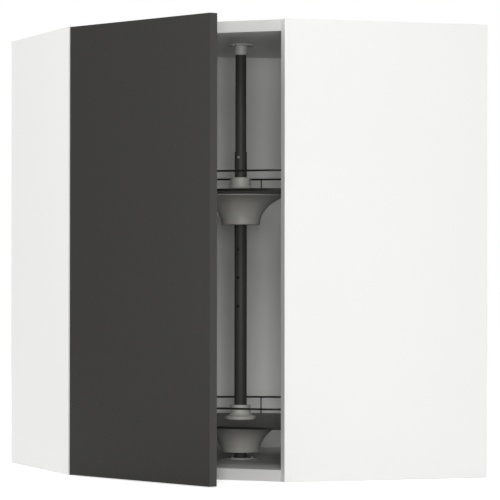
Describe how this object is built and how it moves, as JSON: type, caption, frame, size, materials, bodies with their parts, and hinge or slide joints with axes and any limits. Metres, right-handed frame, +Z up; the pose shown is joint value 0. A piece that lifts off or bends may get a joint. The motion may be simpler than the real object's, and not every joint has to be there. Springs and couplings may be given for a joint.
{
  "type": "corner carousel cabinet",
  "caption": "Corner wall cabinet with a diagonal hinged door and a carousel of turning, flat-fronted trays with wire rails on a central pole.",
  "frame": {"origin": "on the underside of the bottom panel, under the pole's axis, which is the centre of the square that the cabinet's walls make", "axes": "+Z up; +Y points at one wall of the room and -X at the other, so the diagonal door faces +X and -Y"},
  "size_m": [0.7658, 0.6821, 0.8],
  "materials": {
    "white_board": "white melamine foil on particleboard, satin",
    "white_hardboard": "white lacquered hardboard, satin",
    "anthracite_front": "anthracite foil, matt",
    "tray_laminate": "anthracite laminate, satin",
    "grey_plastic": "moulded light grey plastic, fine texture",
    "white_plastic": "moulded white plastic",
    "black_metal": "black lacquered steel, glossy",
    "zinc_metal": "zinc plated steel, satin"
  },
  "bodies": {
    "cabinet": {"side_panel_right": "white_board", "side_panel_left": "white_board", "top_panel": "white_board", "bottom_panel": "white_board", "back_panel_right": "white_hardboard", "back_panel_left": "white_hardboard", "corner_post": "white_board", "hanger_housing_right": "white_plastic", "hanger_housing_left": "white_plastic", "hanger_hook_right": "zinc_metal", "hanger_hook_left": "zinc_metal", "pole_outer_tube": "black_metal", "pole_inner_tube": "black_metal", "pole_lock_screw": "zinc_metal", "floor_flange": "grey_plastic", "ceiling_flange": "grey_plastic", "floor_flange_screw_1": "zinc_metal", "floor_flange_screw_2": "zinc_metal", "floor_flange_screw_3": "zinc_metal", "ceiling_flange_screw_1": "zinc_metal", "ceiling_flange_screw_2": "zinc_metal", "ceiling_flange_screw_3": "zinc_metal", "lower_pin": "zinc_metal", "upper_pin": "zinc_metal", "lower_bearing_washer": "grey_plastic", "upper_bearing_washer": "grey_plastic", "hinge_plate_bottom": "zinc_metal", "hinge_plate_bottom_lower_screw": "zinc_metal", "hinge_plate_bottom_upper_screw": "zinc_metal", "hinge_arm_bottom": "zinc_metal", "hinge_plate_top": "zinc_metal", "hinge_plate_top_lower_screw": "zinc_metal", "hinge_plate_top_upper_screw": "zinc_metal", "hinge_arm_top": "zinc_metal"},
    "door": {"door_panel": "anthracite_front", "hinge_cup_bottom": "zinc_metal", "hinge_cup_bottom_lower_screw": "zinc_metal", "hinge_cup_bottom_upper_screw": "zinc_metal", "hinge_cup_top": "zinc_metal", "hinge_cup_top_lower_screw": "zinc_metal", "hinge_cup_top_upper_screw": "zinc_metal"},
    "hinge_links": {"hinge_link_bottom": "zinc_metal", "hinge_link_top": "zinc_metal"},
    "lower_tray": {"lower_tray_board": "tray_laminate", "lower_tray_rail_back": "black_metal", "lower_tray_rail_front": "black_metal", "lower_tray_hub": "grey_plastic", "lower_tray_support": "grey_plastic", "lower_tray_screw_1": "zinc_metal", "lower_tray_screw_2": "zinc_metal", "lower_tray_screw_3": "zinc_metal"},
    "upper_tray": {"upper_tray_board": "tray_laminate", "upper_tray_rail_back": "black_metal", "upper_tray_rail_front": "black_metal", "upper_tray_hub": "grey_plastic", "upper_tray_support": "grey_plastic", "upper_tray_screw_1": "zinc_metal", "upper_tray_screw_2": "zinc_metal", "upper_tray_screw_3": "zinc_metal"}
  },
  "joints": [
    {"name": "door_swing", "type": "hinge", "parent": "cabinet", "child": "door", "pos_m": [0.03697, -0.33268, 0.4], "axis": [0, 0, -1], "range_deg": [-25.2, 84.8]},
    {"name": "hinge_links_swing", "type": "hinge", "parent": "cabinet", "child": "hinge_links", "pos_m": [0.03697, -0.33268, 0.4], "axis": [0, 0, -1], "range_deg": [-12.7, 42.5]},
    {"name": "lower_tray_turn", "type": "hinge", "parent": "cabinet", "child": "lower_tray", "pos_m": [0, 0, 0.09], "axis": [0, 0, 1], "continuous": true},
    {"name": "upper_tray_turn", "type": "hinge", "parent": "cabinet", "child": "upper_tray", "pos_m": [0, 0, 0.506], "axis": [0, 0, 1], "continuous": true}
  ],
  "couplings": [
    {"joint": "hinge_links_swing", "follows": "door_swing", "ratio": 0.5}
  ]
}
